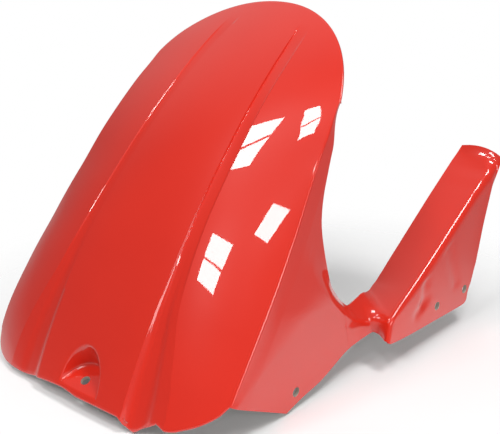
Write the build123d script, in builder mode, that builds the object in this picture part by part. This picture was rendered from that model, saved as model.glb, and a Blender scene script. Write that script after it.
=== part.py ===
"""Rear hugger mudguard for a motorbike: one moulded shell with a chain guard.

Millimetres. +X is forwards, +Y is the bike's left (the chain side), +Z is up.
The origin is the centre of the front bolt hole, on the floor of its pocket, and
the two chain guard bolts lie on a level line.

The crown of the shell follows one arc about an axis parallel to Y. A place on it
is given by s, the distance along that arc from the front edge towards the rear,
by y across it, and by drop, the depth below the arc towards the wheel.
"""

import os
from math import atan2, cos, radians, sin, tan

from build123d import *

# Crown of the shell
wall = 3.0
arc_radius = 500.0
arc_start_angle = 23.15
bolt_s = 14.0
bolt_drop = 5.6
front_half_width = 111.0
rear_half_width = 91.5
taper_exponent = 2.4
shoulder_s = 115.0
shoulder_drop = 31.5
front_shoulder_drop = 21.0
rear_shoulder_drop = 11.0
front_crown_exponent = 3.2
rear_crown_exponent = 2.2
station_count = 14

# Creases from the front edge to a point near the rear
front_band_half_width = 43.0
rear_band_half_width = 28.9
crease_end_s = 314.0
groove_width = 5.5
groove_flare = 29.0
groove_flare_length = 140.0
groove_depth = 1.8
front_groove_depth = 5.4
groove_facet_width = 4.5
groove_facet_share = 0.35
groove_floor_share = 0.72
groove_least_share = 0.05

# Rear tongue and front edge
tip_s = 335.0
tip_length = 85.0
tip_half_width = 93.0
front_edge_s = 2.0
front_tooth = 7.0
front_notch = 4.0
left_corner_s = 34.0
right_corner_s = 18.0
right_front_half_width = 86.0

# Side walls
lip_depth = 5.0
lip_fade = 0.8
lip_fade_length = 35.0
flare_depth = 35.0
flare_start_s = 140.0
flare_end_s = 175.0
flare_fade = 0.95
left_wall_start_s = 25.0
left_wall_peak_s = 143.0
left_wall_end_s = 208.0
left_wall_depth = 66.0
left_wall_front_exponent = 1.6
left_wall_rear_exponent = 2.0
right_wall_depth = 14.0
right_wall_rise_length = 35.0
right_wall_fall_length = 125.0
wall_edge_points = 25

# Front bolt pocket
bolt_hole_radius = 3.5
pocket_tilt = 28.0
pocket_half_width = 19.0
pocket_centre = 6.7
pocket_draft = 10.0
pocket_height = 30.0
pocket_reach = 50.0

# Side tab
tab_step = 1.0
tab_front_x = -32.0
tab_front_z = 7.0
tab_foot_x = -79.0
tab_foot_z = -17.0
tab_foot_radius = 4.0
tab_hole_x = -89.0
tab_hole_z = -5.0
tab_rear_x = -148.0
tab_rear_z = 3.0
tab_fold_front_s = 62.0
tab_fold_front_drop = 38.0
tab_fold_rear_s = 118.0
tab_fold_rear_drop = 66.0

# Neck and chain guard
neck_x = -178.0
neck_run = 6.0
neck_z = 7.0
saddle_x = -167.0
saddle_rise = 30.0
saddle_run = 26.0
saddle_radius = 15.0
saddle_top_rise = 35.0
saddle_top_run = 14.0
saddle_top_step = 7.0
saddle_lip = 11.0
guard_step = 20.0
guard_width = 38.0
guard_slope = 29.6
guard_rear_x = -321.0
guard_rear_z = 104.5
guard_end_run = 6.0
guard_end_rise = 9.0
guard_inner_x = -203.0
flange_foot_x = -292.0
flange_foot_z = -1.5
flange_corner_radius = 12.0
flange_heel_x = -300.0
flange_heel_z = 53.0
guard_bolt_x = -260.0
guard_bolt_z = 12.0
guard_bolt_spacing = 42.0

# How far cutters reach past what they cut, and how deep they go
over = 5.0
reach = 150.0

first_angle = radians(arc_start_angle)
bolt_angle = first_angle + bolt_s / arc_radius
arc_centre_x = -(arc_radius - bolt_drop) * cos(bolt_angle)
arc_centre_z = -(arc_radius - bolt_drop) * sin(bolt_angle)
tongue_s = tip_s - tip_length
tab_y = front_half_width + tab_step
guard_y = tab_y + guard_step
first_s = front_edge_s - front_tooth - over
last_s = tip_s + over
stations = [first_s + (last_s - first_s) * i / (station_count - 1) for i in range(station_count)]


def smooth(t):
    """Ease from 0 to 1."""
    t = min(max(t, 0.0), 1.0)
    return t * t * (3.0 - 2.0 * t)


def arc_point(s, drop=0.0):
    """The point (x, z) of the side view at s along the crown's arc and drop below it."""
    angle = first_angle + s / arc_radius
    radius = arc_radius - drop
    return (arc_centre_x + radius * cos(angle), arc_centre_z + radius * sin(angle))


def section_plane(s):
    """A plane across the shell: its x is the bike's left, its y points at the wheel."""
    angle = first_angle + s / arc_radius
    x, z = arc_point(s)
    return Plane(origin=(x, 0, z), x_dir=(0, 1, 0), z_dir=(-sin(angle), 0, cos(angle)))


def crown_plane(s):
    """A plane touching the crown: its x is the bike's left, its y points to the rear."""
    angle = first_angle + s / arc_radius
    x, z = arc_point(s)
    return Plane(origin=(x, 0, z), x_dir=(0, 1, 0), z_dir=(cos(angle), 0, sin(angle)))


def side_plane(y):
    """A plane across the bike at y: its x is forwards, its y is up, and it faces the right."""
    return Plane.XZ.offset(-y)


def half_width(s):
    narrowing = max(s / tongue_s, 0.0) ** taper_exponent
    return front_half_width - (front_half_width - rear_half_width) * narrowing


def shoulder(s):
    """Drop of the crown's side edge."""
    if s < shoulder_s:
        return shoulder_drop - (shoulder_drop - front_shoulder_drop) * (1.0 - s / shoulder_s) ** 2
    rearward = smooth((s - shoulder_s) / (tip_s - shoulder_s))
    return shoulder_drop - (shoulder_drop - rear_shoulder_drop) * rearward


def crown_drop(s, y):
    """Drop of the plain crown, before its creases."""
    exponent = front_crown_exponent + (rear_crown_exponent - front_crown_exponent) * s / tip_s
    return shoulder(s) * (y / half_width(s)) ** exponent


def band_half_width(s):
    narrowing = (max(s, 0.0) / crease_end_s) ** rear_crown_exponent
    return front_band_half_width - (front_band_half_width - rear_band_half_width) * narrowing


def lip(s):
    """Depth of the turned-down lip, fading out beside the tongue."""
    return lip_depth * (1.0 - lip_fade * smooth((s - tongue_s) / lip_fade_length))


def left_wall_bottom(s):
    """Drop of the left wall's lower edge, deepest where the tab and the chain guard start."""
    if s < left_wall_peak_s:
        rise = max(0.0, (s - left_wall_start_s) / (left_wall_peak_s - left_wall_start_s))
        rise = rise ** left_wall_front_exponent
    else:
        rise = max(0.0, 1.0 - (s - left_wall_peak_s) / (left_wall_end_s - left_wall_peak_s))
        rise = rise ** left_wall_rear_exponent
    return shoulder(s) + lip(s) + left_wall_depth * rise


def right_wall_bottom(s):
    """Drop of the right wall's lower edge, a plain skirt."""
    rise = smooth((s - right_corner_s) / right_wall_rise_length)
    fall = smooth((tongue_s - s) / right_wall_fall_length)
    return shoulder(s) + lip(s) + right_wall_depth * rise * fall


def shell_section(s, inset):
    """Closed section of the shell, moved in by inset from its outer face."""
    flare = 1.0 - smooth(s / groove_flare_length)
    width = groove_width + groove_flare * flare
    fade = 1.0 - smooth((s - tongue_s) / (crease_end_s - tongue_s))
    depth = (groove_depth + (front_groove_depth - groove_depth) * flare) * max(fade, groove_least_share)
    band = band_half_width(s)
    foot = band + min(groove_facet_width, groove_facet_share * width)
    floor = band + groove_floor_share * width
    crest = band + width
    bulge = (crest + half_width(s)) / 2
    edge = half_width(s) - inset
    edge_drop = shoulder(s) + inset / 2
    spread = 1.0 - flare_fade * smooth((s - flare_start_s) / (flare_end_s - flare_start_s))
    skirt = edge + (tab_y - half_width(s)) * spread
    skirt_drop = shoulder(s) + flare_depth
    bottom = shoulder(s) + lip_depth + left_wall_depth + over + inset
    with BuildSketch(section_plane(s)) as section:
        with BuildLine():
            band_drop = crown_drop(s, band) + inset
            crest_drop = crown_drop(s, crest) + inset
            ThreePointArc((-band, band_drop), (0, inset), (band, band_drop))
            for side in (1, -1):
                Polyline(
                    (side * band, band_drop),
                    (side * foot, crown_drop(s, foot) + depth + inset),
                    (side * floor, crown_drop(s, floor) + groove_floor_share * depth + inset),
                    (side * crest, crest_drop),
                )
                ThreePointArc(
                    (side * crest, crest_drop),
                    (side * bulge, crown_drop(s, bulge) + inset),
                    (side * edge, edge_drop),
                )
                Polyline((side * edge, edge_drop), (side * skirt, skirt_drop), (side * skirt, bottom))
            Line((-skirt, bottom), (skirt, bottom))
        make_face()
    return section.sketch


# The shell before it is trimmed, outside and inside
with BuildPart() as crown:
    for s in stations:
        add(shell_section(s, 0.0))
    loft()

with BuildPart() as hollow:
    for s in stations:
        add(shell_section(s, wall))
    loft()

# The bolt pocket is a tray under the crown, with its floor square to the bolt
pocket_plane = Plane(
    origin=(0, 0, 0),
    x_dir=(0, 1, 0),
    z_dir=(sin(radians(pocket_tilt)), 0, cos(radians(pocket_tilt))),
)


def pocket_outline(plane, margin):
    """An arch open to the front."""
    radius = pocket_half_width + margin
    with BuildSketch(plane) as outline:
        with BuildLine():
            Line((radius, -pocket_reach), (radius, -pocket_centre))
            ThreePointArc((radius, -pocket_centre), (0, radius - pocket_centre), (-radius, -pocket_centre))
            Polyline((-radius, -pocket_centre), (-radius, -pocket_reach), (radius, -pocket_reach))
        make_face()
    return outline.sketch


with BuildPart() as tray:
    tray_outline = pocket_outline(pocket_plane.offset(-wall), wall)
    extrude(tray_outline, amount=wall + pocket_height, taper=-pocket_draft)
    add(crown.part, mode=Mode.INTERSECT)

# The saddle and the top of the chain guard are one ribbon, seen from the side
saddle_z = guard_rear_z - (saddle_x - guard_rear_x) * tan(radians(guard_slope))
saddle_top = (saddle_x + saddle_run + saddle_top_run, saddle_z + saddle_rise + saddle_top_rise)
guard_inner_y = guard_y - guard_width
neck_top_z = saddle_z + (saddle_x - neck_x) * tan(radians(guard_slope))
saddle_half_angle = (radians(180 - guard_slope) - atan2(saddle_rise, saddle_run)) / 2
saddle_floor_z = saddle_z + saddle_radius * (1 / sin(saddle_half_angle) - 1)

with BuildPart() as ribbon:
    with BuildSketch(side_plane(guard_y)):
        with BuildLine() as ribbon_line:
            FilletPolyline(
                saddle_top,
                (saddle_x + saddle_run, saddle_z + saddle_rise),
                (saddle_x, saddle_z),
                (guard_rear_x, guard_rear_z),
                (guard_rear_x - guard_end_run, guard_rear_z + guard_end_rise),
                radius=[saddle_radius, saddle_radius, wall],
            )
        trace(ribbon_line.line, wall)
    extrude(amount=guard_width)
    with BuildSketch(Plane.XY.offset(-over)):
        with BuildLine():
            Polyline(
                (saddle_top[0] + over, tab_y - saddle_top_step),
                (saddle_x + saddle_run, tab_y),
                (neck_x + wall, tab_y),
                (neck_x + neck_run + wall, guard_y),
                (guard_rear_x - guard_end_run - over, guard_y),
                (guard_rear_x - guard_end_run - over, guard_inner_y),
                (guard_inner_x, guard_inner_y),
                (saddle_x, tab_y - saddle_lip),
                (saddle_top[0] + over, tab_y - saddle_lip),
                close=True,
            )
        make_face()
    extrude(amount=reach, mode=Mode.INTERSECT)

with BuildPart() as hugger:
    add(crown.part)
    add(hollow.part, mode=Mode.SUBTRACT)
    add(tray.part)
    extrude(pocket_outline(pocket_plane, 0.0), amount=pocket_height, taper=-pocket_draft, mode=Mode.SUBTRACT)

    # Lower edges of the left and right walls
    for side, wall_bottom in ((1, left_wall_bottom), (-1, right_wall_bottom)):
        edge_step = (last_s - first_s + 2 * over) / (wall_edge_points - 1)
        edge_s = [first_s - over + edge_step * i for i in range(wall_edge_points)]
        with BuildSketch(Plane.XZ):
            with BuildLine():
                Spline([arc_point(s, wall_bottom(s)) for s in edge_s])
                Polyline(
                    arc_point(edge_s[-1], wall_bottom(edge_s[-1])),
                    arc_point(edge_s[-1], reach),
                    arc_point(edge_s[0], reach),
                    arc_point(edge_s[0], wall_bottom(edge_s[0])),
                )
            make_face()
        extrude(amount=-side * reach, mode=Mode.SUBTRACT)

    # Round the tongue off at the rear
    with BuildSketch(crown_plane(tongue_s)):
        with BuildLine():
            EllipticalCenterArc((0, 0), tip_half_width, tip_length, 0, arc_size=180)
            Polyline(
                (-tip_half_width, 0),
                (-reach, 0),
                (-reach, reach),
                (reach, reach),
                (reach, 0),
                (tip_half_width, 0),
            )
        make_face()
    extrude(amount=reach, both=True, mode=Mode.SUBTRACT)

    # Front edge: straight across the band, then a tooth and a sweep to the left corner,
    # and a plain run to the right one
    tooth_y = front_band_half_width + groove_facet_width
    notch_y = front_band_half_width + groove_width + groove_flare
    outer_y = front_half_width + wall
    with BuildSketch(crown_plane(front_edge_s)):
        with BuildLine():
            Polyline(
                (-right_front_half_width, 0),
                (front_band_half_width, 0),
                (tooth_y, -front_tooth),
                (notch_y - groove_width, front_notch),
                (notch_y, front_notch / 2),
            )
            Spline(
                (notch_y, front_notch / 2),
                ((notch_y + front_half_width) / 2, left_corner_s / 3),
                (outer_y, left_corner_s),
            )
            Polyline(
                (outer_y, left_corner_s),
                (reach, left_corner_s),
                (reach, -reach),
                (-reach, -reach),
                (-reach, right_corner_s),
                (-outer_y, right_corner_s),
            )
            TangentArc((-right_front_half_width, 0), (-outer_y, right_corner_s), tangent=(-1, 0))
        make_face()
    extrude(amount=reach, both=True, mode=Mode.SUBTRACT)

    # Side tab
    with BuildSketch(side_plane(tab_y)):
        with BuildLine():
            FilletPolyline(
                (tab_front_x, tab_front_z),
                (tab_foot_x, tab_foot_z),
                (tab_rear_x, tab_rear_z),
                (neck_x, neck_z),
                (neck_x, neck_top_z),
                (saddle_x, saddle_z),
                (saddle_x + saddle_run, saddle_z + saddle_rise),
                (saddle_x + saddle_run + saddle_top_run / 2, saddle_z + saddle_rise + saddle_top_rise / 2),
                arc_point(tab_fold_rear_s, tab_fold_rear_drop),
                arc_point(tab_fold_front_s, tab_fold_front_drop),
                radius=[0, tab_foot_radius, 0, 0, 0, saddle_radius, 0, 0, 0, 0],
                close=True,
            )
        make_face()
    extrude(amount=wall)

    # Neck web, guard top and flange
    with BuildSketch(Plane.XY.offset(neck_z)):
        with BuildLine():
            Polyline(
                (neck_x, tab_y - wall),
                (neck_x + wall, tab_y - wall),
                (neck_x + neck_run + wall, guard_y),
                (neck_x + neck_run, guard_y),
                close=True,
            )
        make_face()
    extrude(amount=saddle_floor_z + wall / 4 - neck_z)
    add(ribbon.part)
    with BuildSketch(side_plane(guard_y)):
        with BuildLine():
            FilletPolyline(
                (neck_x + neck_run + wall, neck_z),
                (flange_foot_x, flange_foot_z),
                (flange_heel_x, flange_heel_z),
                (guard_rear_x, guard_rear_z),
                (neck_x, neck_top_z),
                (neck_x + neck_run + wall, saddle_floor_z),
                radius=[0, flange_corner_radius, 0, 0, 0, 0],
                close=True,
            )
        make_face()
    extrude(amount=wall)

    # Bolt holes
    with BuildSketch(pocket_plane):
        Circle(bolt_hole_radius)
    extrude(amount=2 * wall, both=True, mode=Mode.SUBTRACT)
    with BuildSketch(side_plane(tab_y + over)):
        with Locations((tab_hole_x, tab_hole_z)):
            Circle(bolt_hole_radius)
    extrude(amount=wall + 2 * over, mode=Mode.SUBTRACT)
    with BuildSketch(side_plane(guard_y + over)):
        with Locations((guard_bolt_x, guard_bolt_z)):
            with GridLocations(guard_bolt_spacing, 0, 2, 1):
                Circle(bolt_hole_radius)
    extrude(amount=wall + 2 * over, mode=Mode.SUBTRACT)

hugger.part.label = "hugger"
os.makedirs("parts", exist_ok=True)
export_step(hugger.part, "parts/hugger.step")
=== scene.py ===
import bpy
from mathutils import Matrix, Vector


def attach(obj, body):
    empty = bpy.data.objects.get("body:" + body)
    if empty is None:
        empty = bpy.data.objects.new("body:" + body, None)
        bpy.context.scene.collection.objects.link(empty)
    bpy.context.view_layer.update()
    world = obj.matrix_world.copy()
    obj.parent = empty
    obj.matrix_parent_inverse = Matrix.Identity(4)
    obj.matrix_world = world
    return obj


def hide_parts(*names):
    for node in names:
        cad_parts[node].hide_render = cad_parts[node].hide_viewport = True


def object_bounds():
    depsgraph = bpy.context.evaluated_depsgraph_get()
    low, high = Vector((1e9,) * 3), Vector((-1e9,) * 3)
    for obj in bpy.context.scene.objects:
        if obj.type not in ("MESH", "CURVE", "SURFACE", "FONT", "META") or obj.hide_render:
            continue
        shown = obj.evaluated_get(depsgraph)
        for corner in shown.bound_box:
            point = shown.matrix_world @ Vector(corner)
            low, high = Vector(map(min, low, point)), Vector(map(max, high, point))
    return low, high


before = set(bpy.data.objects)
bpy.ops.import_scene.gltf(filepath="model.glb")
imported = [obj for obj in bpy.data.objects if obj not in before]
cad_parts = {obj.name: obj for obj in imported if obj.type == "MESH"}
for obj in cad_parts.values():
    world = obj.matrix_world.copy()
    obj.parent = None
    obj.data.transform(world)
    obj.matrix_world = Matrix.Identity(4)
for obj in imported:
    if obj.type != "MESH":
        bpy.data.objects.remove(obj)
cad_box = [list(corner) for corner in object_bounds()]

from math import atan, atan2, cos, exp, hypot, pi, radians, sin, sqrt

import bmesh
import bpy
from mathutils import Matrix, Vector

# Sizes of the part are in millimetres, as in the CAD, and become metres in the meshes
MM = 0.001

# Crown: s runs along the arc from the front edge to the rear, drop goes in towards the arc's centre
ARC_RADIUS = 500.0
ARC_START = radians(23.15)
ARC_CENTRE_X = -448.97
ARC_CENTRE_Z = -207.02
FRONT_EDGE_S = 2.0
TIP_S = 335.0
TIP_LENGTH = {1: 110.0, -1: 85.0}
TIP_HALF_WIDTH = {1: 96.8, -1: 94.0}
WALL = 3.0
EDGE_RADIUS = 1.2
FOLD_RADIUS = 2.0
FOLD_RUN = 14.0
CREASE_START = 70.0
CREASE_RUN = 60.0

# Side walls and tab; side 1 is the bike's left and side -1 its right
WALL_START = {1: 35.0, -1: 18.0}
WALL_RUN_OUT = 32.0
LEAN_END = 138.0
LEAN_FADE = 27.0
LEAST_FOLD = 1.0
TAB_Y = 112.0
TAB_SLACK = 2.0
TAB_HOLE = (-89.0, -5.0)
HOLE_RADIUS = 3.5
STRIP_INSET = 8.0
STRIP_TOP = 50.0
STRIP_POWER = 1.4

# Front bolt pocket, on a floor square to the bolt at the origin
POCKET_TILT = radians(28.0)
POCKET_HALF_WIDTH = 17.6
POCKET_LENGTH = 20.5
POCKET_CENTRE = 6.7
RIM_HALF_WIDTH = 19.5
RIM_CENTRE_S = 9.8
RIM_LENGTH = 30.0
POCKET_FRONT_S = 6.6
POCKET_FRONT = -9.25
POCKET_FRONT_HALF_WIDTH = 16.4
FRONT_GAP = 0.3
RIM_ROUND = 1.5
FOOT_ROUND = 2.0
ROUND_SHARE = 0.3

# Chain guard: bolt holes, the flange's border, its soft dents and the rounding of the ridge
GUARD_BOLTS = ((-239.0, 12.0), (-281.0, 12.0))
FLANGE_FACE_Y = 128.0
FLANGE_BEVEL = 6.5
BEVEL_DEPTH = 2.4
PRESSINGS = (((-254, 54), (-267, 22)), ((-222, 36), (-219, 20)), ((-224, 23), (-210, 15)))
PRESS_DEPTH = 1.0
PRESS_REACH = 4.5
NECK_ROUND = 1.0
RIDGE_ROUND = 5.0
FLANGE_ROLL = 4.0
LEG_SHARE = 0.4
ARCH_SHARE = 0.9

# Where the guard's flange rolls, gets its border and arches over at the end, by station number
ROLL_START = 7.0
ROLL_RUN = 2.0
FLANGE_CORNER = 10.5
END_ARCH = 14.0

# Unpainted edges
BARE_HOLE_REACH = 7.0
BARE_BOLT_REACH = 4.0
BARE_TAB_SLACK = 1.0
BARE_SADDLE_Y = 106.0
BARE_SADDLE_X = (-164.0, -146.0)

# Material slots of both pieces
PAINTED = 0
INSIDE = 1
UNPAINTED = 2

# Mesh density
ROWS = 150
EDGE_ROWS = 4
BAND_COLUMNS = 18
GROOVE_COLUMNS = 16
BULGE_COLUMNS = 40
WALL_COLUMNS = {1: 84, -1: 16}
WALL_CROWDING = 1.6
TIP_HALVINGS = 40
BEND_STEPS = 4
POCKET_WALL_STEPS = 6
FLOOR_RINGS = 8
STATION_STEPS = 12
GUARD_TOP_COLUMNS = 16
RIDGE_COLUMNS = 8
FLANGE_COLUMNS = 44
SHARP_ANGLE = radians(40.0)


def curve(*knots):
    """A smooth curve through a few knots that never overshoots them, level past its ends."""
    xs = [knot[0] for knot in knots]
    ys = [knot[1] for knot in knots]
    steps = [(ys[i + 1] - ys[i]) / (xs[i + 1] - xs[i]) for i in range(len(xs) - 1)]
    slopes = [steps[0]]
    for before, after in zip(steps, steps[1:]):
        slopes.append(0.0 if before * after <= 0 else 2.0 * before * after / (before + after))
    slopes.append(steps[-1])

    def value(x):
        if x <= xs[0]:
            return ys[0]
        if x >= xs[-1]:
            return ys[-1]
        i = max(k for k in range(len(xs) - 1) if xs[k] <= x)
        width = xs[i + 1] - xs[i]
        t = (x - xs[i]) / width
        return (
            ys[i] * (1 + 2 * t) * (1 - t) ** 2
            + ys[i + 1] * t * t * (3 - 2 * t)
            + width * (slopes[i] * t * (1 - t) ** 2 - slopes[i + 1] * t * t * (1 - t))
        )

    return value


def smooth(t):
    """An even rise from 0 to 1, level at both ends and beyond them."""
    t = min(max(t, 0.0), 1.0)
    return t * t * (3.0 - 2.0 * t)


def crowded(i, count):
    """Step i of count as a share from 0 to 1, with the steps closer together at both ends."""
    return 0.5 - 0.5 * cos(pi * i / count)


# Crown sections along s: width, bulge, creases, the fold into the walls and the trimmed front edge
half_width = curve((-10, 111), (30, 110.8), (80, 109.8), (120, 107.8), (158, 104.8), (196, 100.6),
                   (233, 96.8), (250, 95.2), (340, 85))
shoulder = {
    1: curve((-10, 19), (30, 23), (80, 28.5), (120, 30.5), (158, 29), (196, 25), (233, 18.5), (255, 15.5),
             (300, 12), (340, 11)),
    -1: curve((-10, 21), (10, 18), (30, 17), (80, 21.2), (120, 24), (158, 23.5), (196, 19.5), (233, 16.5),
              (255, 15), (300, 11.5), (340, 11)),
}
crown_power = {
    1: curve((-10, 3.2), (60, 2.9), (196, 2.5), (340, 2.2)),
    -1: curve((-10, 2.9), (60, 2.9), (196, 1.9), (340, 2.2)),
}
band_edge = curve((-10, 42.9), (78, 42.9), (156, 40.4), (234, 35.6), (312, 28.9), (340, 26))
groove_width = curve((-10, 35), (20, 32), (50, 25), (87, 15), (130, 11), (160, 10), (237, 9.5), (275, 10),
                     (298, 10), (314, 9), (340, 8))
groove_depth = {
    1: curve((-10, 6), (20, 5.2), (50, 4), (87, 2.2), (155, 1.4), (285, 1.2), (314, 0), (340, 0)),
    -1: curve((-10, 3.2), (20, 3), (50, 2.6), (87, 2.2), (155, 1.4), (285, 1.2), (314, 0), (340, 0)),
}
fold_out = curve((18, 1.6), (140, 1.6), (190, 2.2), (235, 2.6), (260, 2.6))
front_trim = {
    1: curve((0, 2), (38, 2.5), (42, 1.8), (45, -1.8), (49.9, -4.3), (58, 1.6), (64.8, 5.1), (69.1, 8.1),
             (72, 7.6), (76.5, 6.2), (82, 7.5), (87, 10.2), (97.4, 17.5), (106, 27.7), (109, 35)),
    -1: curve((0, 2), (16, 3.6), (34.5, 2.3), (47, 0.8), (62, -1.6), (84.7, -1.2), (92, 0), (100, 2.8),
              (105.5, 8), (109, 18)),
}

# Across a groove, from the band to the bulge: an open channel at the front, a stepped crease behind
channel_shape = curve((0.0, 0.0), (0.14, 1.0), (0.5, 0.92), (0.58, 0.62), (1.0, 0.0))
crease_shape = curve((0.0, 0.0), (0.04, 1.0), (0.86, 0.5), (1.0, 0.0))

# Side walls: the left one's fold into the tab, both lower edges, and the turned-in strip by the U cut-out
tab_fold = curve((35, 27.5), (67, 45), (90, 58), (107, 66), (129, 86), (140, 92))
wall_bottom = {
    1: curve((35, 84), (37, 86), (48, 95.5), (68.6, 114), (102.6, 133), (108, 136.5), (111, 137.5),
             (132, 125.5), (139, 119), (143, 105), (147, 92), (153, 82), (163, 69), (182, 50), (200, 40),
             (210, 36), (235, 26.5), (250, 21), (270, 17)),
    -1: curve((18, 26), (53, 41), (110, 45), (160, 42), (210, 31), (235, 24.5), (250, 21), (270, 18)),
}
strip_start = curve((56, 147), (65, 140), (80, 135), (95, 132), (111, 130.5), (135, 132), (160, 134))
strip_end = curve((47, 182), (67, 163), (82, 153), (92, 147), (105, 143), (130, 139), (156, 136))


def crown_point(s, y, drop):
    """A point of the crown in the shared frame, in millimetres."""
    angle = ARC_START + s / ARC_RADIUS
    radius = ARC_RADIUS - drop
    return Vector((ARC_CENTRE_X + radius * cos(angle), y, ARC_CENTRE_Z + radius * sin(angle)))


def crown_drop(s, y):
    """How far the crown's face lies below its arc, creases and all."""
    side = 1 if y >= 0.0 else -1
    across = abs(y)
    drop = shoulder[side](s) * min(across / half_width(s), 1.0) ** crown_power[side](s)
    width = groove_width(s)
    past = across - band_edge(s)
    if 0.0 < past < width:
        crease = smooth((s - CREASE_START) / CREASE_RUN)
        shape = channel_shape(past / width) * (1.0 - crease) + crease_shape(past / width) * crease
        drop += groove_depth[side](s) * shape
    return drop


def edge_y(s):
    """Where the crown's face starts to fold down into the side wall."""
    return half_width(s) - fold_out(s)


def lane_y(kind, share, s):
    """Distance from the middle of a lane of the crown."""
    if kind == "band":
        return share * band_edge(s)
    if kind == "groove":
        return band_edge(s) + share * groove_width(s)
    bulge_start = band_edge(s) + groove_width(s)
    return bulge_start + share * (edge_y(s) - bulge_start)


def tip_end(kind, side, share):
    """Where a lane of the crown meets the rounded tongue."""
    length = TIP_LENGTH[side]
    low, high = TIP_S - length, TIP_S
    for _ in range(TIP_HALVINGS):
        s = (low + high) / 2
        reach = TIP_HALF_WIDTH[side] * sqrt(max(0.0, 1.0 - ((s - TIP_S + length) / length) ** 2))
        if lane_y(kind, share, s) < reach:
            low = s
        else:
            high = s
    return low


WALL_END = {side: tip_end("bulge", side, 1.0) for side in (1, -1)}


def wall_place(side, share, s):
    """A place on a side wall: it folds down from the crown and runs out into the rim of the tongue.

    The left one leans out to the tab. The fold starts along the crown's own slope.
    """
    top = crown_drop(s, side * edge_y(s))
    height = max(wall_bottom[side](s) - top, WALL)
    slope = crown_power[side](s) * top / edge_y(s)
    depth = share * height
    drop = top + depth
    curl_reach = FOLD_RADIUS / (3.0 * slope)
    curl = min(curl_reach, fold_out(s)) * (1.0 - (1.0 - min(depth / FOLD_RADIUS, 1.0)) ** 3)
    lean_out = max(fold_out(s) - curl_reach, 0.0) * min(depth / FOLD_RUN, 1.0)
    y = edge_y(s) + curl + lean_out
    if side > 0:
        lean = smooth((drop - top) / max(tab_fold(s) - top, LEAST_FOLD))
        lean *= 1.0 - smooth((s - LEAN_END) / LEAN_FADE)
        y += (TAB_Y - half_width(s)) * lean
        if drop > STRIP_TOP:
            turn = (s - strip_start(drop)) / (strip_end(drop) - strip_start(drop))
            y -= STRIP_INSET * lean * max(0.0, min(turn, 1.0)) ** STRIP_POWER
    run_out = smooth((s - WALL_END[side]) / WALL_RUN_OUT + 1.0)
    tilt = atan(slope)
    y += (edge_y(s) - share * WALL * sin(tilt) - y) * run_out
    drop += (top + share * WALL * cos(tilt) - drop) * run_out
    return s, side * y, drop


def edge_rows(count, length, radius):
    """Shares from 0 to 1, evenly spaced but close together inside radius of each end."""
    inner = [radius / length + (1.0 - 2.0 * radius / length) * i / count for i in range(count + 1)]
    ease = [radius / length * (1.0 - cos(radians(90.0 * i / EDGE_ROWS))) for i in range(EDGE_ROWS)]
    return ease + inner + [1.0 - e for e in reversed(ease)]


def edge_roll(distance):
    """How far the face turns down within the rounded edge."""
    if distance >= EDGE_RADIUS:
        return 0.0
    gap = EDGE_RADIUS - max(distance, 0.0)
    return EDGE_RADIUS - sqrt(EDGE_RADIUS ** 2 - gap ** 2)


def crown_lanes():
    """Every lane of the crown from the right wall's edge to the left wall's, as (kind, side, share)."""
    lanes = []
    for side in (-1, 1):
        first_band = 1 if side < 0 else 0
        half = [("band", i / BAND_COLUMNS) for i in range(first_band, BAND_COLUMNS + 1)]
        half += [("groove", crowded(i, GROOVE_COLUMNS)) for i in range(1, GROOVE_COLUMNS + 1)]
        half += [("bulge", crowded(i, BULGE_COLUMNS)) for i in range(1, BULGE_COLUMNS + 1)]
        wall_columns = WALL_COLUMNS[side]
        half += [("wall", (i / wall_columns) ** WALL_CROWDING) for i in range(1, wall_columns + 1)]
        lanes += [(kind, side, share) for kind, share in half[::side]]
    return lanes


def lane_points(kind, side, share):
    """One lane of the crown from front to rear, as (s, y, drop)."""
    if kind == "wall":
        start, end = WALL_START[side], WALL_END[side]
        rows = edge_rows(ROWS, end - start, EDGE_RADIUS)
        places = [wall_place(side, share, start + (end - start) * row) for row in rows]
        return [(s, y, drop + edge_roll(min(s - start, end - s))) for s, y, drop in places]
    start = front_trim[side](lane_y(kind, share, FRONT_EDGE_S))
    end = tip_end(kind, side, share)
    points = []
    for row in edge_rows(ROWS, end - start, EDGE_RADIUS):
        s = start + (end - start) * row
        y = side * lane_y(kind, share, s)
        points.append((s, y, crown_drop(s, y) + edge_roll(min(s - start, end - s))))
    return points


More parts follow.
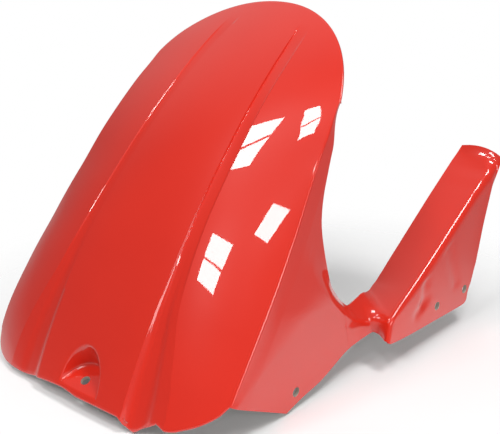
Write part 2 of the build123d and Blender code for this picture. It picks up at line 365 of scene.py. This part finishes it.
class Surface:
    """Points and faces of one side of the moulding, before it gets its thickness."""

    def __init__(self):
        self.points = []
        self.faces = []

    def grid(self, columns):
        """Quads between neighbouring columns of points."""
        starts = []
        for column in columns:
            starts.append(len(self.points))
            self.points += column
        for a, b in zip(starts, starts[1:]):
            for i in range(len(columns[0]) - 1):
                self.faces.append((a + i, b + i, b + i + 1, a + i + 1))

    def open_up(self, inside):
        """Deletes the faces around a set of points and returns the points of the rim that is left."""
        rim = {i for face in self.faces if inside & set(face) for i in face} - inside
        self.faces = [face for face in self.faces if not inside & set(face)]
        return rim

    def punch(self, centre, radius, place):
        """Cuts a round hole; place turns a point into its x and z on the hole's face, or None off it."""
        inside = set()
        for i, point in enumerate(self.points):
            at = place(point)
            if at and hypot(at[0] - centre[0], at[1] - centre[1]) < radius:
                inside.add(i)
        for i in self.open_up(inside):
            at = place(self.points[i])
            pull = 1 - radius / hypot(at[0] - centre[0], at[1] - centre[1])
            self.points[i] = self.points[i] + Vector((
                (centre[0] - at[0]) * pull, 0.0, (centre[1] - at[1]) * pull))

    def outward(self, first):
        """Turns every face the same way, with the first face looking along the direction first."""
        mesh = bpy.data.meshes.new("facing")
        mesh.from_pydata(self.points, [], self.faces)
        form = bmesh.new()
        form.from_mesh(mesh)
        bmesh.ops.recalc_face_normals(form, faces=form.faces)
        form.faces.ensure_lookup_table()
        if form.faces[0].normal.dot(first) < 0.0:
            bmesh.ops.reverse_faces(form, faces=form.faces)
        self.faces = [tuple(vert.index for vert in face.verts) for face in form.faces]
        form.free()
        bpy.data.meshes.remove(mesh)

    def solid(self, name, first, is_raw):
        """A mesh object with this face outside, the same face moved in, and a rim between them."""
        self.outward(first)
        normals = [Vector((0, 0, 0)) for _ in self.points]
        edges = set()
        for face in self.faces:
            a, b, c = (self.points[i] for i in face[:3])
            d = self.points[face[-1]]
            normal = (c - a).cross(d - b)
            for i, j in zip(face, face[1:] + face[:1]):
                normals[i] += normal
                edges.add((i, j))
        used = sorted({i for face in self.faces for i in face})
        place = {i: k for k, i in enumerate(used)}
        outer = [self.points[i] for i in used]
        inner = [self.points[i] - normals[i].normalized() * WALL for i in used]
        count = len(used)
        faces = [tuple(place[i] for i in face) for face in self.faces]
        faces += [tuple(count + i for i in reversed(face)) for face in faces]
        finish = [PAINTED] * len(self.faces) + [INSIDE] * len(self.faces)
        for i, j in sorted(edges):
            if (j, i) not in edges:
                faces.append((place[j], place[i], count + place[i], count + place[j]))
                finish.append(UNPAINTED if is_raw(self.points[i]) else PAINTED)
        mesh = bpy.data.meshes.new(name)
        mesh.from_pydata([p * MM for p in outer + inner], [], faces)
        for polygon, slot in zip(mesh.polygons, finish):
            polygon.material_index = slot
            polygon.use_smooth = True
        for material in (RED, UNDERSIDE, CUT_EDGE):
            mesh.materials.append(material)
        mesh.set_sharp_from_angle(angle=SHARP_ANGLE)
        piece = bpy.data.objects.new(name, mesh)
        bpy.context.scene.collection.objects.link(piece)
        return piece


def bend(a, corner, b, steps):
    """Points of a rounded corner from a towards b, without b itself."""
    shares = [i / steps for i in range(steps)]
    return [a * (1 - u) ** 2 + corner * 2 * u * (1 - u) + b * u * u for u in shares]


def rim_reach(s, y):
    """How far a place on the crown is from the middle of the pocket's arch, as a share of its rim."""
    return hypot(max(s - RIM_CENTRE_S, 0.0) / RIM_LENGTH, y / RIM_HALF_WIDTH)


def floor_point(across, back):
    """A point of the pocket's tilted floor."""
    return Vector((-back * cos(POCKET_TILT), across, back * sin(POCKET_TILT)))


def cut_arch(surface, places, row_count):
    """Opens the crown inside the pocket's arch; returns the rim in order, as (point, is at the front)."""
    middle = min(i for i, (s, y, drop) in enumerate(places) if y == 0.0)
    first_row = min(row for row in range(row_count) if places[middle + row][0] > POCKET_FRONT_S)
    rim = surface.open_up({
        i for i, (s, y, drop) in enumerate(places)
        if i % row_count >= first_row and rim_reach(s, y) < 1.0
    })

    def round_arch(i):
        return atan2(places[i][1], places[i][0] - RIM_CENTRE_S)

    return [(i, i % row_count < first_row) for i in sorted(rim, key=round_arch)]


def pocket_place(s, y, is_front):
    """Fits a place on the rim to the arch: its s and y, the way out, and the wall's foot on the floor."""
    if s > RIM_CENTRE_S:
        reach = rim_reach(s, y)
        turn = ((s - RIM_CENTRE_S) / RIM_LENGTH / reach, y / RIM_HALF_WIDTH / reach)
        foot = (POCKET_HALF_WIDTH * turn[1], POCKET_LENGTH * turn[0] - POCKET_CENTRE)
        return RIM_CENTRE_S + RIM_LENGTH * turn[0], RIM_HALF_WIDTH * turn[1], turn, foot
    side = 1.0 if y > 0 else -1.0
    if is_front:
        s = POCKET_FRONT_S
        y = max(-RIM_HALF_WIDTH, min(y, RIM_HALF_WIDTH))
        across = y * POCKET_FRONT_HALF_WIDTH / RIM_HALF_WIDTH
    else:
        s = max(s, POCKET_FRONT_S + FRONT_GAP)
        y = side * RIM_HALF_WIDTH
        across = y * POCKET_HALF_WIDTH / RIM_HALF_WIDTH
    run_out = (RIM_CENTRE_S - s) / (RIM_CENTRE_S - POCKET_FRONT_S)
    return s, y, (0.0, side), (across, -POCKET_CENTRE + (POCKET_FRONT + POCKET_CENTRE) * run_out)


def pocket_line(s, y, turn, foot_place):
    """Points down the pocket's wall from inside its rim, and the place on the floor where they end."""
    rim_point = crown_point(s, y, crown_drop(s, y))
    across, back = foot_place
    foot = floor_point(across, back)
    depth = (foot - rim_point).length
    rim_round = min(RIM_ROUND, ROUND_SHARE * depth)
    foot_round = min(FOOT_ROUND, ROUND_SHARE * depth)
    corner = crown_point(s - turn[0] * rim_round, y - turn[1] * rim_round, crown_drop(s, y))
    toe_place = (across - turn[1] * foot_round, back - turn[0] * foot_round)
    top = corner.lerp(foot, rim_round / depth)
    low = foot.lerp(corner, foot_round / depth)
    line = bend(rim_point, corner, top, BEND_STEPS)[1:]
    line += [top.lerp(low, k / POCKET_WALL_STEPS) for k in range(POCKET_WALL_STEPS)]
    line += bend(low, foot, floor_point(*toe_place), BEND_STEPS)
    return line, toe_place


def pocket_floor(surface, ring, floor_places):
    """Closes the floor in from the foot of the wall to the bolt hole."""
    count = len(ring)
    for step in range(1, FLOOR_RINGS + 1):
        first = len(surface.points)
        for across, back in floor_places:
            shrink = 1.0 + (HOLE_RADIUS / hypot(across, back) - 1.0) * step / FLOOR_RINGS
            surface.points.append(floor_point(across * shrink, back * shrink))
        inner = list(range(first, first + count))
        for k in range(count):
            n = (k + 1) % count
            surface.faces.append((ring[k], inner[k], inner[n], ring[n]))
        ring = inner


def sink_pocket(surface, places, row_count):
    """Cuts the arch of the pocket out of the crown and lines it with a wall, a floor and its bolt hole."""
    lines, floor_places = [], []
    for i, is_front in cut_arch(surface, places, row_count):
        s, y, drop = places[i]
        s, y, turn, floor_place = pocket_place(s, y, is_front)
        surface.points[i] = crown_point(s, y, crown_drop(s, y))
        line = []
        # At the front the floor runs out level and has no wall
        if s > POCKET_FRONT_S:
            line, floor_place = pocket_line(s, y, turn, floor_place)
        first = len(surface.points)
        surface.points += line
        lines.append([i] + list(range(first, first + len(line))))
        floor_places.append(floor_place)
    for a, b in zip(lines, lines[1:] + lines[:1]):
        for k in range(max(len(a), len(b)) - 1):
            corners = [line[min(j, len(line) - 1)] for line, j in ((a, k), (a, k + 1), (b, k + 1), (b, k))]
            surface.faces.append(tuple(dict.fromkeys(corners)))
    pocket_floor(surface, [line[-1] for line in lines], floor_places)


def crown_surface():
    """The crown with both walls and the tab, and the pocket sunk into it."""
    surface = Surface()
    lanes = [lane_points(*lane) for lane in crown_lanes()]
    places = [place for lane in lanes for place in lane]
    surface.grid([[crown_point(*place) for place in lane] for lane in lanes])
    sink_pocket(surface, places, len(lanes[0]))
    surface.punch(TAB_HOLE, HOLE_RADIUS, lambda p: (p.x, p.z) if p.y > TAB_Y - TAB_SLACK else None)
    return surface


def crown_is_raw(point):
    """The tab's lower edge and the bolt holes of tab and pocket are unpainted."""
    near_hole = hypot(point.x - TAB_HOLE[0], point.z - TAB_HOLE[1]) < BARE_HOLE_REACH
    is_lower_edge = point.y > TAB_Y - BARE_TAB_SLACK and point.z < 0.0
    return near_hole or is_lower_edge or point.length < BARE_HOLE_REACH


# Guard: inner edge, ridge and lower edge at stations from inside the tab to the rear end
GUARD_STATIONS = (
    ((-144, 104.3, 44.5), (-143.5, 112.05, 33.5), (-150, 112.05, 3.9)),
    ((-152, 103.8, 37), (-152.6, 112.5, 26.2), (-160, 112.4, 5.2)),
    ((-160, 103.5, 32.3), (-163, 113.6, 20.7), (-169.5, 113.4, 6.8)),
    ((-171, 102.8, 33.8), (-171, 115.5, 17.8), (-176.3, 115.2, 8.2)),
    ((-177, 101.5, 34), (-173.5, 119, 18.2), (-177, 119, 7.6)),
    ((-183, 100, 33), (-175, 123, 19.5), (-174.7, 124, 7)),
    ((-191, 97.5, 30), (-176, 128.5, 21.8), (-171.3, 129, 7.1)),
    ((-199, 95, 28), (-181, 130, 25), (-173.6, 132, 5)),
    ((-207, 94, 30.6), (-201, 130, 35.5), (-201, 132, 2.3)),
    ((-230, 94, 46.6), (-230, 130, 51.5), (-230, 132, 1)),
    ((-279, 94, 81.2), (-279, 130, 82), (-279, 132, -1)),
    ((-288, 94, 87.3), (-288, 130, 87.5), (-288.5, 132, 5)),
    ((-294, 94, 91.3), (-294, 130, 91), (-296, 132, 22)),
    ((-302, 94, 96.7), (-302, 130, 96), (-304.5, 132, 55)),
    ((-312, 94, 103.3), (-312, 130, 102), (-315.5, 132, 85)),
    ((-320, 94.6, 109.2), (-320, 126, 110), (-321.5, 131.8, 99)),
    ((-325.3, 95.5, 114.5), (-325.3, 116, 119.5), (-325.3, 131.5, 111)),
)
LAST_STATION = len(GUARD_STATIONS) - 1


def guard_rail(rail):
    """A smooth line through one of the three points of every station, by station number."""
    lines = []
    for axis in range(3):
        lines.append(curve(*[(i, station[rail][axis]) for i, station in enumerate(GUARD_STATIONS)]))
    return lambda t: Vector([line(t) for line in lines])


def pressed(x, z):
    """How far the flange is pressed in at a place, along its three soft creases."""
    depth = 0.0
    for (x0, z0), (x1, z1) in PRESSINGS:
        run, rise = x1 - x0, z1 - z0
        along = ((x - x0) * run + (z - z0) * rise) / (run * run + rise * rise)
        along = max(0.0, min(along, 1.0))
        off = hypot(x - x0 - along * run, z - z0 - along * rise)
        depth += PRESS_DEPTH * exp(-(off / PRESS_REACH) ** 2)
    return depth


def guard_column(t, inner, ridge, foot):
    """Points across the guard at station t: its top, the rounded ridge and the flange."""
    top_way, flange_way = inner - ridge, foot - ridge
    flange_room = LEG_SHARE * flange_way.length
    reach = min(NECK_ROUND + t, RIDGE_ROUND, LEG_SHARE * top_way.length, flange_room)
    roll = min(reach + FLANGE_ROLL * smooth((t - ROLL_START) / ROLL_RUN), flange_room)
    arch = smooth((t - END_ARCH) / (LAST_STATION - END_ARCH))
    start = (ridge + top_way.normalized() * reach).lerp(ridge.lerp(inner, ARCH_SHARE), arch)
    end = (ridge + flange_way.normalized() * roll).lerp(ridge.lerp(foot, ARCH_SHARE), arch)
    column = [inner.lerp(start, j / GUARD_TOP_COLUMNS) for j in range(GUARD_TOP_COLUMNS)]
    column += bend(start, ridge, end, RIDGE_COLUMNS)
    for j in range(FLANGE_COLUMNS + 1):
        point = end.lerp(foot, j / FLANGE_COLUMNS)
        point.y -= pressed(point.x, point.z)
        if t > FLANGE_CORNER:
            bevel = max(0.0, 1.0 - (point - foot).length / FLANGE_BEVEL)
            point.y -= BEVEL_DEPTH * bevel * smooth(t - FLANGE_CORNER) * (1.0 - arch)
        column.append(point)
    return column


def guard_surface():
    """Neck, guard top and flange as one folded sheet."""
    surface = Surface()
    inner, ridge, foot = (guard_rail(rail) for rail in range(3))
    steps = STATION_STEPS * LAST_STATION
    stations = [LAST_STATION * k / steps for k in range(steps + 1)]
    surface.grid([guard_column(t, inner(t), ridge(t), foot(t)) for t in stations])
    for bolt in GUARD_BOLTS:
        surface.punch(bolt, HOLE_RADIUS, lambda p: (p.x, p.z) if p.y > FLANGE_FACE_Y else None)
    return surface


def guard_is_raw(point):
    """The flange's bolt holes and a short run of the saddle's edge are unpainted."""
    near_hole = any(hypot(point.x - x, point.z - z) < BARE_BOLT_REACH for x, z in GUARD_BOLTS)
    return near_hole or (point.y < BARE_SADDLE_Y and BARE_SADDLE_X[0] < point.x < BARE_SADDLE_X[1])


def map_range(nodes, low, high, at_low=0.0, at_high=1.0, interpolation="LINEAR"):
    """A Map Range node that turns low to high into at_low to at_high."""
    node = nodes.new("ShaderNodeMapRange")
    node.interpolation_type = interpolation
    node.inputs["From Min"].default_value = low
    node.inputs["From Max"].default_value = high
    node.inputs["To Min"].default_value = at_low
    node.inputs["To Max"].default_value = at_high
    return node


def gloss_red():
    """Clear-coated red over moulded plastic, with the faint ripple of sprayed paint."""
    material = bpy.data.materials.new("gloss_red")
    material.use_nodes = True
    nodes, links = material.node_tree.nodes, material.node_tree.links
    paint = nodes["Principled BSDF"]
    place = nodes.new("ShaderNodeTexCoord")
    cloud = nodes.new("ShaderNodeTexNoise")
    cloud.inputs["Scale"].default_value = 14.0
    cloud.inputs["Detail"].default_value = 2.0
    tint = nodes.new("ShaderNodeValToRGB")
    tint.color_ramp.elements[0].color = (0.68, 0.020, 0.008, 1)
    tint.color_ramp.elements[1].color = (0.76, 0.026, 0.010, 1)
    ripple = nodes.new("ShaderNodeTexNoise")
    ripple.inputs["Scale"].default_value = 45.0
    ripple.inputs["Detail"].default_value = 1.0
    wave = nodes.new("ShaderNodeBump")
    wave.inputs["Strength"].default_value = 0.25
    wave.inputs["Distance"].default_value = 0.0002
    links.new(place.outputs["Object"], cloud.inputs["Vector"])
    links.new(place.outputs["Object"], ripple.inputs["Vector"])
    links.new(cloud.outputs["Fac"], tint.inputs["Fac"])
    links.new(tint.outputs["Color"], paint.inputs["Base Color"])
    links.new(ripple.outputs["Fac"], wave.inputs["Height"])
    links.new(wave.outputs["Normal"], paint.inputs["Normal"])
    links.new(wave.outputs["Normal"], paint.inputs["Coat Normal"])
    paint.inputs["Roughness"].default_value = 0.35
    paint.inputs["Specular IOR Level"].default_value = 0.2
    paint.inputs["Coat Weight"].default_value = 1.0
    paint.inputs["Coat IOR"].default_value = 1.58
    paint.inputs["Coat Roughness"].default_value = 0.02
    return material


def plastic_grain():
    """A node group that shades a plastic's colour with a fine grain."""
    group = bpy.data.node_groups.new("plastic_grain", "ShaderNodeTree")
    group.interface.new_socket("Plastic Colour", in_out="INPUT", socket_type="NodeSocketColor")
    group.interface.new_socket("Grained Colour", in_out="OUTPUT", socket_type="NodeSocketColor")
    nodes, links = group.nodes, group.links
    given = nodes.new("NodeGroupInput")
    result = nodes.new("NodeGroupOutput")
    place = nodes.new("ShaderNodeTexCoord")
    grain = nodes.new("ShaderNodeTexNoise")
    grain.inputs["Scale"].default_value = 60.0
    shade = map_range(nodes, 0.0, 1.0, 0.85, 1.0)
    shaded = nodes.new("ShaderNodeVectorMath")
    shaded.operation = "SCALE"
    links.new(place.outputs["Object"], grain.inputs["Vector"])
    links.new(grain.outputs["Fac"], shade.inputs["Value"])
    links.new(given.outputs["Plastic Colour"], shaded.inputs["Vector"])
    links.new(shade.outputs["Result"], shaded.inputs["Scale"])
    links.new(shaded.outputs["Vector"], result.inputs["Grained Colour"])
    return group


def bare_plastic(name, grain, colour, rough):
    """Unpainted moulding with its grain."""
    material = bpy.data.materials.new(name)
    material.use_nodes = True
    nodes, links = material.node_tree.nodes, material.node_tree.links
    plastic = nodes["Principled BSDF"]
    grained = nodes.new("ShaderNodeGroup")
    grained.node_tree = grain
    grained.inputs["Plastic Colour"].default_value = colour + (1,)
    links.new(grained.outputs["Grained Colour"], plastic.inputs["Base Color"])
    plastic.inputs["Roughness"].default_value = rough
    return material


RED = gloss_red()
GRAIN = plastic_grain()
UNDERSIDE = bare_plastic("bare_underside", GRAIN, (0.30, 0.29, 0.27), 0.55)
CUT_EDGE = bare_plastic("cut_edge", GRAIN, (0.50, 0.44, 0.38), 0.6)

crown = crown_surface().solid("crown", Vector((0, -1, 0)), crown_is_raw)
guard = guard_surface().solid("chain_guard", Vector((0, 0, 1)), guard_is_raw)
for piece in (crown, guard):
    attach(piece, "root")
    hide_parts("hugger")

# The stage, from here on in metres: floor, camera as fitted to the photo, room and lights
FLOOR_SIZE = 4.0
FLOOR_MIDDLE = (-0.14, 0.06)
FADE_START = 0.14
FADE_END = 0.36
CAMERA_PLACE = Vector((0.38505, 0.47075, 0.34120))
CAMERA_RIGHT = Vector((-0.64811642, 0.76149518, 0.00837844))
CAMERA_DOWN = Vector((0.25960985, 0.23127282, -0.93761165))
CAMERA_AHEAD = Vector((-0.71592446, -0.60550638, -0.34758336))
LENS_MM = 72.0
SENSOR_MM = 36.0
ROOM_LEVEL = 0.17
LOW_LEVEL = 0.42
LOW_START = 0.05
LOW_END = -0.15
PALE_SIDE = Vector((-0.45, -0.55, 0.7)).normalized()
PALE_SIDE_LEVEL = 0.40
PALE_SIDE_EDGE = 0.70
BACKDROP_EDGE = (0.90, 0.94)
CEILING = 1.8
LIGHT_BAR = 0.02
CEILING_RADIANCE = 17.8
WINDOW_RADIANCE = 5.2


def pale_paper():
    """Matt white that fades out around the part, so that the backdrop shows past it."""
    material = bpy.data.materials.new("pale_floor")
    material.use_nodes = True
    nodes, links = material.node_tree.nodes, material.node_tree.links
    paper = nodes["Principled BSDF"]
    paper.inputs["Base Color"].default_value = (0.92, 0.92, 0.92, 1)
    paper.inputs["Roughness"].default_value = 0.9
    paper.inputs["Specular IOR Level"].default_value = 0.0
    place = nodes.new("ShaderNodeTexCoord")
    distance = nodes.new("ShaderNodeVectorMath")
    distance.operation = "LENGTH"
    fade = map_range(nodes, FADE_START, FADE_END, interpolation="SMOOTHSTEP")
    clear = nodes.new("ShaderNodeBsdfTransparent")
    blend = nodes.new("ShaderNodeMixShader")
    links.new(place.outputs["Object"], distance.inputs[0])
    links.new(distance.outputs["Value"], fade.inputs["Value"])
    links.new(fade.outputs["Result"], blend.inputs["Fac"])
    links.new(paper.outputs["BSDF"], blend.inputs[1])
    links.new(clear.outputs["BSDF"], blend.inputs[2])
    links.new(blend.outputs["Shader"], nodes["Material Output"].inputs["Surface"])
    return material


def fitted_camera():
    """The camera that sees the part as the photo does."""
    lens = bpy.data.cameras.new("camera")
    lens.lens = LENS_MM
    lens.sensor_width = SENSOR_MM
    lens.sensor_fit = "HORIZONTAL"
    camera = bpy.data.objects.new("camera", lens)
    turn = Matrix((CAMERA_RIGHT, -CAMERA_DOWN, -CAMERA_AHEAD)).transposed()
    camera.matrix_world = Matrix.Translation(CAMERA_PLACE) @ turn.to_4x4()
    bpy.context.scene.collection.objects.link(camera)
    return camera


def pointing(nodes, direction):
    """A node that tells how far the way it is given points along a direction."""
    node = nodes.new("ShaderNodeVectorMath")
    node.operation = "DOT_PRODUCT"
    node.inputs[1].default_value = direction
    return node


def studio_room():
    """A white backdrop behind the part, in a room that is paler below and on one high side."""
    world = bpy.data.worlds.new("studio")
    world.use_nodes = True
    nodes, links = world.node_tree.nodes, world.node_tree.links
    place = nodes.new("ShaderNodeTexCoord")
    axes = nodes.new("ShaderNodeSeparateXYZ")
    level = map_range(nodes, LOW_END, LOW_START, LOW_LEVEL, ROOM_LEVEL)
    aside = pointing(nodes, PALE_SIDE)
    side_glow = map_range(nodes, PALE_SIDE_EDGE, 1.0, 0.0, PALE_SIDE_LEVEL, "SMOOTHSTEP")
    walls = nodes.new("ShaderNodeMath")
    walls.operation = "ADD"
    behind = pointing(nodes, CAMERA_AHEAD)
    backdrop = map_range(nodes, *BACKDROP_EDGE)
    room = nodes.new("ShaderNodeMixRGB")
    room.inputs["Color2"].default_value = (1.0, 1.0, 1.0, 1)
    links.new(place.outputs["Generated"], axes.inputs["Vector"])
    links.new(axes.outputs["Z"], level.inputs["Value"])
    links.new(place.outputs["Generated"], aside.inputs[0])
    links.new(aside.outputs["Value"], side_glow.inputs["Value"])
    links.new(level.outputs["Result"], walls.inputs[0])
    links.new(side_glow.outputs["Result"], walls.inputs[1])
    links.new(walls.outputs["Value"], room.inputs["Color1"])
    links.new(place.outputs["Generated"], behind.inputs[0])
    links.new(behind.outputs["Value"], backdrop.inputs["Value"])
    links.new(backdrop.outputs["Result"], room.inputs["Fac"])
    links.new(room.outputs["Color"], nodes["Background"].inputs["Color"])
    return world


def soft_panel(name, place, turn, width, length, radiance):
    """A soft rectangular light; turn holds its three angles."""
    light = bpy.data.lights.new(name, "AREA")
    light.shape = "RECTANGLE"
    light.size = width
    light.size_y = length
    light.energy = radiance * pi * width * length
    lamp = bpy.data.objects.new(name, light)
    lamp.location = place
    lamp.rotation_euler = turn
    bpy.context.scene.collection.objects.link(lamp)


def ceiling_light(name, x, y, turn, width, length):
    """Two soft panels with a thin bar between them, level and facing down."""
    for half in (-1, 1):
        shift = half * (length + LIGHT_BAR) / 4
        place = (x - shift * sin(turn), y + shift * cos(turn), CEILING)
        soft_panel(name, place, (0.0, 0.0, turn), width, (length - LIGHT_BAR) / 2, CEILING_RADIANCE)


# Pale floor under the part, fading into the white backdrop
bpy.ops.mesh.primitive_plane_add(size=FLOOR_SIZE, location=FLOOR_MIDDLE + (cad_box[0][2],))
floor = bpy.context.object
floor.name = "floor"
floor.data.materials.append(pale_paper())

bpy.context.scene.camera = fitted_camera()
bpy.context.scene.world = studio_room()

# Ceiling lights, whose reflections show the form, and a window to the bike's left
ceiling_light("light_a", 0.63, -0.41, radians(-80), 0.37, 0.36)
ceiling_light("light_b", 0.50, 0.08, radians(-48), 0.12, 0.44)
ceiling_light("light_c", 1.66, 0.02, radians(-90), 0.58, 0.50)
soft_panel("light_d", (1.09, 0.82, CEILING), (0.0, 0.0, 0.0), 0.26, 0.38, CEILING_RADIANCE)
soft_panel("light_e", (-0.24, 0.62, CEILING), (0.0, 0.0, 0.0), 0.40, 0.60, CEILING_RADIANCE)
soft_panel("window", (0.3, 2.1, 0.8), (radians(-78), 0.0, radians(-8)), 1.0, 1.0, WINDOW_RADIANCE)

bpy.context.scene.view_settings.view_transform = "Standard"
